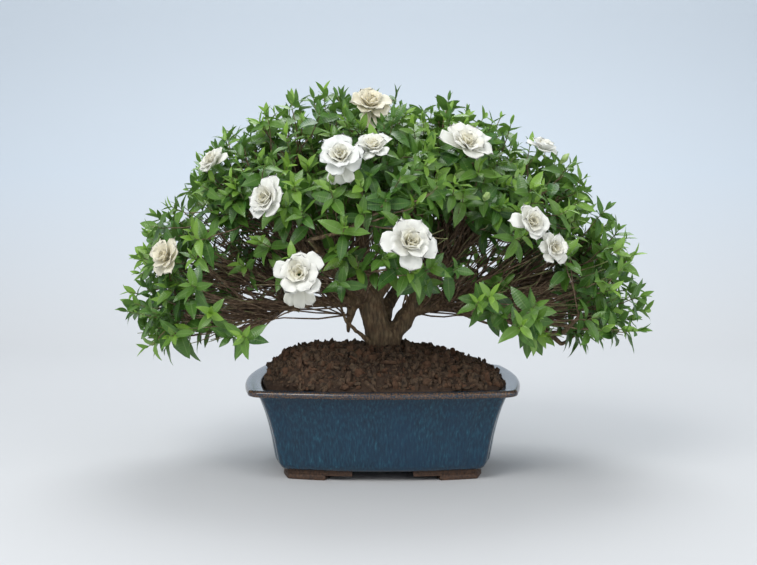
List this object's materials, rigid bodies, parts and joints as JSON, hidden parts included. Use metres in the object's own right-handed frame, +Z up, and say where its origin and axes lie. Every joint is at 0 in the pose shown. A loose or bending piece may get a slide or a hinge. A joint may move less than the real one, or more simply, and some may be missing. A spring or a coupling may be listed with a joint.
{
  "type": "potted gardenia bonsai",
  "caption": "Small-leaved gardenia bonsai in white double bloom, with a broad leafy dome over a gnarled trunk, in a blue glazed rectangular pot on corner feet.",
  "frame": {"origin": "on the ground under the middle of the whole plant's outline, which is also the middle of the pot to within a millimetre", "axes": "+X along the pot's long side, +Y towards the back of the tree, +Z up"},
  "size_m": [0.597, 0.4444, 0.4246],
  "materials": {
    "glaze": "gloss",
    "soil": "matte",
    "bark": "matte",
    "leaf": "satin",
    "petal": "satin",
    "bud": "satin",
    "screen": "matte",
    "clip": "satin"
  },
  "bodies": {
    "root": {"bloom_01": "petal", "bloom_02": "petal", "bloom_03": "petal", "bloom_04": "petal", "bloom_05": "petal", "bloom_06": "petal", "bloom_07": "petal", "bloom_08": "petal", "bloom_09": "petal", "bloom_10": "petal", "bloom_11": "petal", "bloom_12": "petal", "bloom_13": "petal", "bloom_14": "petal", "bloom_15": "petal", "bloom_16": "petal", "bud_1": "bud", "bud_2": "bud", "bud_3": "bud", "bud_4": "bud", "drain_screen_left": "screen", "drain_screen_right": "screen", "foliage_01": "leaf", "foliage_02": "leaf", "foliage_03": "leaf", "foliage_04": "leaf", "foliage_05": "leaf", "foliage_06": "leaf", "foliage_07": "leaf", "foliage_08": "leaf", "foliage_09": "leaf", "foliage_10": "leaf", "foliage_11": "leaf", "foliage_12": "leaf", "foliage_13": "leaf", "foliage_14": "leaf", "foliage_15": "leaf", "foliage_16": "leaf", "foliage_17": "leaf", "foliage_18": "leaf", "foliage_19": "leaf", "foliage_20": "leaf", "foliage_21": "leaf", "foliage_22": "leaf", "foliage_23": "leaf", "foliage_24": "leaf", "foliage_25": "leaf", "foliage_26": "leaf", "pot": "glaze", "screen_clip_left": "clip", "screen_clip_right": "clip", "soil": "soil", "trunk_and_limbs": "bark"}
  },
  "joints": []
}
